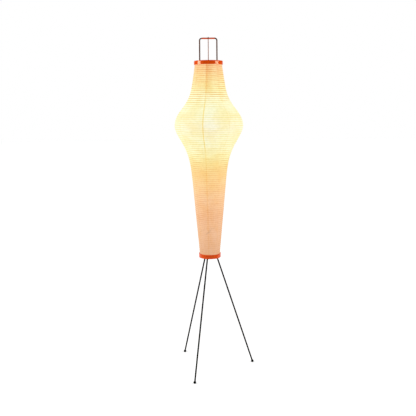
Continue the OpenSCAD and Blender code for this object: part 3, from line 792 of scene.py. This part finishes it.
flat_x = node(tree, "Math", {0: around, 1: 2 * math.pi * WAIST_R / MM}, operation="MULTIPLY")
flat_y = node(tree, "Math", {0: turn, 1: rib_pitch / MM}, operation="MULTIPLY")
flat = node(tree, "CombineXYZ", {0: flat_x, 1: flat_y})
fibres = None
for degrees in FIBRE_TURNS:
    laid = node(
        tree,
        "Mapping",
        {0: flat, "Rotation": (0, 0, math.radians(degrees)), "Scale": (1 / FIBRE_LENGTH, 1 / FIBRE_WIDTH, 1)},
    )
    strands = node(
        tree,
        "TexNoise",
        {"Vector": laid, "Scale": 1.0, "Detail": 1.0, "Distortion": 0.8},
        noise_dimensions="2D",
    )
    strands = node(tree, "MapRange", {"Value": strands, "From Min": FIBRE_FROM[0], "From Max": FIBRE_FROM[1]})
    fibres = strands if fibres is None else node(tree, "Math", {0: fibres, 1: strands}, operation="MAXIMUM")
cloud = node(
    tree, "TexNoise", {"Vector": flat, "Scale": 1 / CLOUD_SIZE, "Detail": 5.0}, noise_dimensions="2D"
)
cloudy = node(
    tree,
    "MapRange",
    {
        "Value": cloud,
        "From Min": NOISE_LOW,
        "From Max": NOISE_HIGH,
        "To Min": CLOUD_LEVELS[0],
        "To Max": CLOUD_LEVELS[1],
    },
)

patch = node(
    tree, "TexNoise", {"Vector": flat, "Scale": 1 / PATCH_SIZE, "Detail": 2.0}, noise_dimensions="2D"
)
patch = node(tree, "MapRange", {"Value": patch, "From Min": PATCH_FROM[0], "From Max": PATCH_FROM[1]})

slant = node(
    tree, "Mapping", {0: flat, "Rotation": (0, 0, math.radians(CRINKLE_TURN)), "Scale": CRINKLE_STRETCH}
)
crumple = node(
    tree,
    "TexNoise",
    {"Vector": slant, "Scale": 1 / CRINKLE_SIZE, "Detail": 2.0, "Distortion": 1.2},
    noise_dimensions="2D",
)
fold = node(tree, "Math", {0: crumple, 1: 0.5}, operation="SUBTRACT")
fold = node(tree, "Math", {0: fold}, operation="ABSOLUTE")
fold = node(
    tree,
    "MapRange",
    {"Value": fold, "From Min": 0.0, "From Max": FOLD_WIDTH, "To Min": 1.0, "To Max": 0.0},
    interpolation_type="SMOOTHSTEP",
)
fold = node(tree, "Math", {0: fold, 1: crinkled}, operation="MULTIPLY")
crease = node(tree, "Attribute", attribute_name="crease").node.outputs["Fac"]

tone = node(tree, "Attribute", attribute_name="gore_tone").node.outputs["Fac"]
seam_shade = node(tree, "Attribute", attribute_name="seam_shade").node.outputs["Fac"]
across = node(tree, "Math", {0: around, 1: SEAM_TURN}, operation="SUBTRACT")
across = node(tree, "Math", {0: across, 1: GORES}, operation="MULTIPLY")
across = node(tree, "Math", {0: across}, operation="FRACT")
across = node(tree, "Math", {0: across, 1: PALE_MIDDLE}, operation="SUBTRACT")
across = node(tree, "Math", {0: across}, operation="ABSOLUTE")
# Painted light: near the bulb the glow is painted whiter across a patch in each gore's middle, and a little
# yellower beside it.
pale_glow = node(
    tree,
    "MapRange",
    {"Value": across, "From Min": PALE_REACH[0], "From Max": PALE_REACH[1], "To Min": 1.0, "To Max": 0.0},
    interpolation_type="SMOOTHSTEP",
)
pale_glow = node(tree, "Math", {0: pale_glow, 1: tone}, operation="MULTIPLY")
yellowed_glow = node(tree, "Math", {0: 1.0, 1: pale_glow}, operation="SUBTRACT")
yellowed_glow = node(tree, "Math", {0: yellowed_glow, 1: near_bulb}, operation="MULTIPLY")
# Painted shade on the glow where a gore laps over the next, fuller near the bulb.
lap_shade = node(tree, "Math", {0: lapped, 1: seam_shade}, operation="MULTIPLY")
clear = node(
    tree,
    "MapRange",
    {"Value": near_bulb, "From Max": LAP_FULL_FROM, "To Min": LAP_FAR_LEVEL, "To Max": 1.0},
)
lap_shade = node(tree, "Math", {0: lap_shade, 1: clear}, operation="MULTIPLY")
# Painted shade on the glow beside each seam, near the top ring.
beside_seam = node(
    tree, "MapRange", {"Value": past, "From Min": 0.0, "From Max": BESIDE_SEAM_REACH, "To Min": 1.0, "To Max": 0.0}
)
to_ring = node(
    tree, "MapRange", {"Value": down, "From Min": 0.0, "From Max": BESIDE_SEAM_DOWN, "To Min": 1.0, "To Max": 0.0}
)
beside_seam = node(tree, "Math", {0: beside_seam, 1: to_ring}, operation="MULTIPLY")
beside_seam = node(tree, "Math", {0: beside_seam, 1: seam_shade}, operation="MULTIPLY")
fibre_shade = node(tree, "Math", {0: fibres, 1: FIBRE_SHADE}, operation="MULTIPLY")
fold_shade = node(tree, "Math", {0: fold, 1: FOLD_SHADE}, operation="MULTIPLY")
lit = glow
for shade, tint in (
    (patch, "#fef7e4"),
    (yellowed_glow, "#fffce9"),
    (rib_shade, rib_shadow),
    (lap_shade, "#f9e4a4"),
    (beside_seam, "#f4d3a4"),
    (fibre_shade, "#e6d2ac"),
    (fold_shade, "#ecd2b4"),
):
    lit = blend(tree, shade, lit, tint, "MULTIPLY")
# Painted shade in each crease and a painted highlight on the swelling above it, scaled with the clouded pulp.
uneven = node(tree, "Math", {0: crease, 1: CREASE_SHADE, 2: cloudy}, operation="MULTIPLY_ADD")
lit = node(tree, "VectorMath", {0: lit, "Scale": uneven}, operation="SCALE")
tree.links.new(lit, shader.inputs["Emission Color"])

# The pulp's colour is kept darker than plain paper, since the painted glow is added to it.
pulp = blend(tree, fibres, "#6e695f", "#7d786e")
pulp = node(tree, "VectorMath", {0: pulp, "Scale": cloudy}, operation="SCALE")
tree.links.new(pulp, shader.inputs["Base Color"])
relief = node(tree, "Math", {0: fibres, 1: cloud}, operation="ADD")
sunk = node(tree, "Math", {0: fold, 1: FOLD_RELIEF}, operation="MULTIPLY")
relief = node(tree, "Math", {0: relief, 1: sunk}, operation="SUBTRACT")
bump = node(tree, "Bump", {"Strength": BUMP_STRENGTH, "Distance": PAPER_RELIEF, "Height": relief})
tree.links.new(bump, shader.inputs["Normal"])


CUT_TOLERANCE = 1e-7        # metres


def cut_shade(name, low_z, high_z, cad_node):
    """The part of the shade's gores between two heights, as a piece with the paper's thickness."""
    mesh = shade_mesh.copy()
    mesh.name = name
    work = bmesh.new()
    work.from_mesh(mesh)
    for height, up in ((low_z, -1), (high_z, 1)):
        bmesh.ops.bisect_plane(
            work,
            geom=[*work.verts, *work.edges, *work.faces],
            dist=CUT_TOLERANCE,
            plane_co=(0, 0, height),
            plane_no=(0, 0, up),
            clear_outer=True,
        )
    work.to_mesh(mesh)
    work.free()
    mesh.shade_smooth()
    made = piece(mesh, washi, "lantern", "lantern_paper", cad_node)
    thickness = made.modifiers.new("thickness", "SOLIDIFY")
    thickness.thickness = PAPER_T
    thickness.offset = -1
    return made


cut_shade("upper_paper", split_z, paper_top_z, "paper_upper")
lower_paper = cut_shade("lower_paper", paper_bottom_z, split_z, "paper_lower")
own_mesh(lower_paper)

# ---- Rings ------------------------------------------------------------------------------
# A lacquered band of bent wood round each end of the paper, slightly crowned, and inside it a
# flat steel hoop that clamps the paper's edge. The top hoop has two holes for the bail.
BAND_CROWN = 0.4            # millimetres
BAND_EDGE = 1.1             # rounding of its outer edges
BORE_EDGE = 0.5             # rounding of its inner edges
CROWN_ROUND = 5.0           # rounding of the crown's ridge
BAND_GAP = 0.2              # between the paper's neck and the band
BANDS = (                   # piece, CAD node, body, radius of the paper's neck
    ("top_ring", "top_band", "lantern", TOP_NECK_R),
    ("bottom_ring", "bottom_band", "bottom_ring", BOTTOM_NECK_R),
)
for name, cad_node, body, neck in BANDS:
    low, high = (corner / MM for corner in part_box(cad_node))
    neck_r = neck / MM + BAND_GAP
    band_outline = [
        (neck_r, low.z, BORE_EDGE),
        (high.x - BAND_CROWN, low.z, BAND_EDGE),
        (high.x, (low.z + high.z) / 2, CROWN_ROUND),
        (high.x - BAND_CROWN, high.z, BAND_EDGE),
        (neck_r, high.z, BORE_EDGE),
    ]
    piece(turned(name, rounded(band_outline), rounds=128), lacquer, body, "orange_lacquer", cad_node)
finish_nodes(black_steel, "top_hoop", "bottom_hoop")

# ---- Bail -------------------------------------------------------------------------------
# A thin wire bent to a narrow V and hooked over the grip, with a foot through each hole of
# the top hoop. It is coppered steel gone brown and satin. Painted shade makes it almost black
# at the tight bend.
BAIL_CORNERS = (            # depth and height, in millimetres, where its straight runs would meet
    (-65.2, 1453.5), (-55.81, 1453.5), (0, 1586.64), (55.81, 1453.5), (65.2, 1453.5),
)
BAIL_BENDS = (6, 6.2, 6)    # radii at the wire's middle
BAIL_WIRE_R = 1.7
BAIL_SIDES = 16
BEND_SHADE_Z = (1.566, 1.573)        # metres, between which painted shade darkens the wire at its bend


def bent(corners, bends, steps=10):
    """The path of a wire through corners in one plane, with each inner corner bent to a radius."""
    corners = [np.array(corner, float) for corner in corners]
    path = [corners[0]]
    for before, here, after, radius in zip(corners, corners[1:], corners[2:], bends):
        u, v = ((end - here) / np.hypot(*(end - here)) for end in (before, after))
        half = math.acos(float(u @ v)) / 2
        middle = here + (u + v) / np.hypot(*(u + v)) * radius / math.sin(half)
        start, end = (here + way * radius / math.tan(half) - middle for way in (u, v))
        sweep = math.pi - 2 * half
        for t in np.linspace(0, 1, steps + 1):
            arm = math.sin((1 - t) * sweep) * start + math.sin(t * sweep) * end
            path.append(middle + arm / math.sin(sweep))
    return np.array([*path, corners[-1]])


bail_path = bent(BAIL_CORNERS, BAIL_BENDS)
along = np.gradient(bail_path, axis=0)
along = along / np.hypot(*along.T)[:, None]
side = 2 * math.pi * np.arange(BAIL_SIDES) / BAIL_SIDES
across = BAIL_WIRE_R * np.cos(side)
level = BAIL_WIRE_R * np.sin(side)
bail_rings = np.stack(
    [
        level + 0 * bail_path[:, :1],
        bail_path[:, :1] - along[:, 1:] * across,
        bail_path[:, 1:] + along[:, :1] * across,
    ],
    axis=2,
)
coppered, tree, shader = material("browned_copper_wire", {"Specular IOR Level": 0.25})
height = node(tree, "SeparateXYZ", {0: node(tree, "TexCoord").node.outputs["Object"]}).node.outputs["Z"]
bend_shade = node(
    tree,
    "MapRange",
    {"Value": height, "From Min": BEND_SHADE_Z[0], "From Max": BEND_SHADE_Z[1]},
    interpolation_type="SMOOTHSTEP",
)
brown = mottle(tree, 5, 0, 1, stretch=(1, 1, 3))
drawn = mottle(tree, 0.4, 0, 1, stretch=(1, 1, 25), detail=2.0)
# Painted shade: the tight bend is painted almost black.
colour = blend(tree, bend_shade, blend(tree, brown, "#86401a", "#ab5c2a"), "#2a1008")
surface(tree, shader, colour, mottle(tree, 4, 0.34, 0.5), drawn, 0.01)
piece(loft("bail_wire", bail_rings * MM), coppered, "lantern", "bronzed_wire", "bail")
